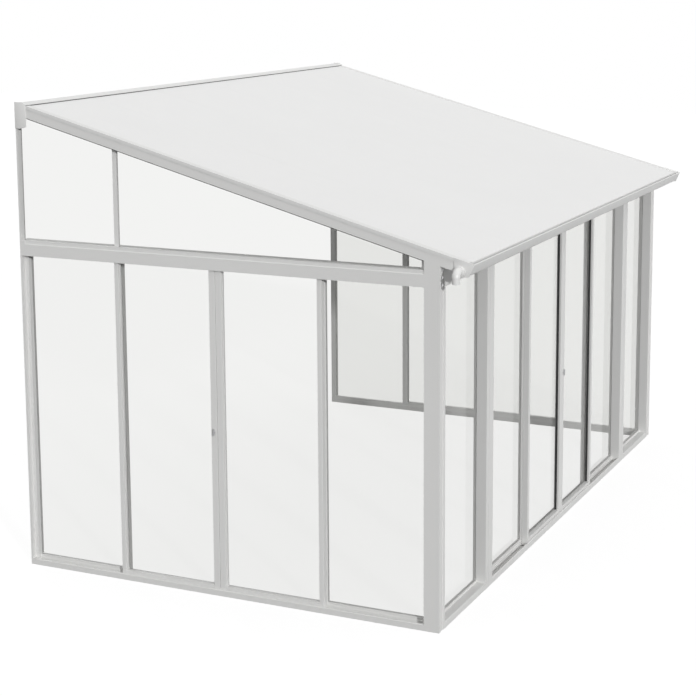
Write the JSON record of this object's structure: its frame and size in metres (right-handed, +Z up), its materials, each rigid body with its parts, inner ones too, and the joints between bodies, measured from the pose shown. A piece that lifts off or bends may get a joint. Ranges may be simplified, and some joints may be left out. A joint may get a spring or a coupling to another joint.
{
  "type": "lean-to sunroom",
  "caption": "White lean-to sunroom with glazed walls, sliding door pairs that meet in the middle, glazed gables, a sloping panel roof and an eave gutter.",
  "frame": {"origin": "on the floor, under the middle of the overall box", "axes": "+X along the front wall to the right as seen from outside, +Y from the front wall to the house, +Z up"},
  "size_m": [4.334, 2.82, 2.7688],
  "materials": {
    "frame_white": "white powder coat, satin",
    "cap_white": "moulded white plastic",
    "roof_white": "opal white sheet, satin",
    "glazing": "clear, polished",
    "nylon": "smooth nylon",
    "steel": "zinc plated",
    "lever_grey": "grey lacquer",
    "seal_black": "black glazing rubber",
    "seal_white": "white glazing rubber"
  },
  "bodies": {
    "frame": {"corner_post_left": "frame_white", "corner_post_right": "frame_white", "eave_beam": "frame_white", "fixed_frames_front": "frame_white", "fixed_frames_left": "frame_white", "fixed_frames_right": "frame_white", "fixed_panes_front": "glazing", "fixed_panes_left": "glazing", "fixed_panes_right": "glazing", "front_post_left": "frame_white", "front_post_right": "frame_white", "gable_bars": "frame_white", "gable_panes": "glazing", "gutter": "frame_white", "gutter_elbow": "cap_white", "gutter_end_left": "cap_white", "gutter_end_right": "cap_white", "post_screws": "steel", "rake_rafter_left": "frame_white", "rake_rafter_right": "frame_white", "ridge_end_caps": "cap_white", "ridge_plate": "frame_white", "roof_edge_trims": "frame_white", "roof_rafters": "frame_white", "roof_sheets": "roof_white", "running_strips": "nylon", "sill_front": "frame_white", "sill_left": "frame_white", "sill_right": "frame_white", "transom_left": "frame_white", "transom_right": "frame_white", "wall_post_left": "frame_white", "wall_post_right": "frame_white"},
    "door_left_rear": {"door_left_rear_frame": "frame_white", "door_left_rear_pane": "glazing", "door_left_rear_seal": "seal_white"},
    "door_left_front": {"door_left_front_frame": "frame_white", "door_left_front_pane": "glazing", "door_left_front_seal": "seal_white", "keeper_left": "steel"},
    "latch_left": {"latch_lever_left": "lever_grey", "latch_hook_left": "steel"},
    "door_front_left": {"door_front_left_frame": "frame_white", "door_front_left_pane": "glazing", "door_front_left_seal": "seal_black", "keeper_front": "steel"},
    "door_front_right": {"door_front_right_frame": "frame_white", "door_front_right_pane": "glazing", "door_front_right_seal": "seal_black"},
    "latch_front": {"latch_lever_front": "lever_grey", "latch_hook_front": "steel"},
    "door_right_front": {"door_right_front_frame": "frame_white", "door_right_front_pane": "glazing", "door_right_front_seal": "seal_white", "keeper_right": "steel"},
    "door_right_rear": {"door_right_rear_frame": "frame_white", "door_right_rear_pane": "glazing", "door_right_rear_seal": "seal_white"},
    "latch_right": {"latch_lever_right": "lever_grey", "latch_hook_right": "steel"}
  },
  "joints": [
    {"name": "door_left_rear_slide", "type": "slide", "parent": "frame", "child": "door_left_rear", "axis": [0, 1, 0], "range_m": [0, 0.565]},
    {"name": "door_left_front_slide", "type": "slide", "parent": "frame", "child": "door_left_front", "axis": [0, -1, 0], "range_m": [0, 0.565]},
    {"name": "latch_left_turn", "type": "hinge", "parent": "door_left_rear", "child": "latch_left", "pos_m": [-2.0595, 0.1425, 0.955], "axis": [-1, 0, 0], "range_deg": [0, 90]},
    {"name": "door_front_left_slide", "type": "slide", "parent": "frame", "child": "door_front_left", "axis": [-1, 0, 0], "range_m": [0, 0.565]},
    {"name": "door_front_right_slide", "type": "slide", "parent": "frame", "child": "door_front_right", "axis": [1, 0, 0], "range_m": [0, 0.565]},
    {"name": "latch_front_turn", "type": "hinge", "parent": "door_front_right", "child": "latch_front", "pos_m": [0.056, -1.1905, 0.955], "axis": [0, 1, 0], "range_deg": [0, 90]},
    {"name": "door_right_front_slide", "type": "slide", "parent": "frame", "child": "door_right_front", "axis": [0, -1, 0], "range_m": [0, 0.565]},
    {"name": "door_right_rear_slide", "type": "slide", "parent": "frame", "child": "door_right_rear", "axis": [0, 1, 0], "range_m": [0, 0.565]},
    {"name": "latch_right_turn", "type": "hinge", "parent": "door_right_rear", "child": "latch_right", "pos_m": [2.1315, 0.1425, 0.955], "axis": [-1, 0, 0], "range_deg": [0, 90]}
  ]
}
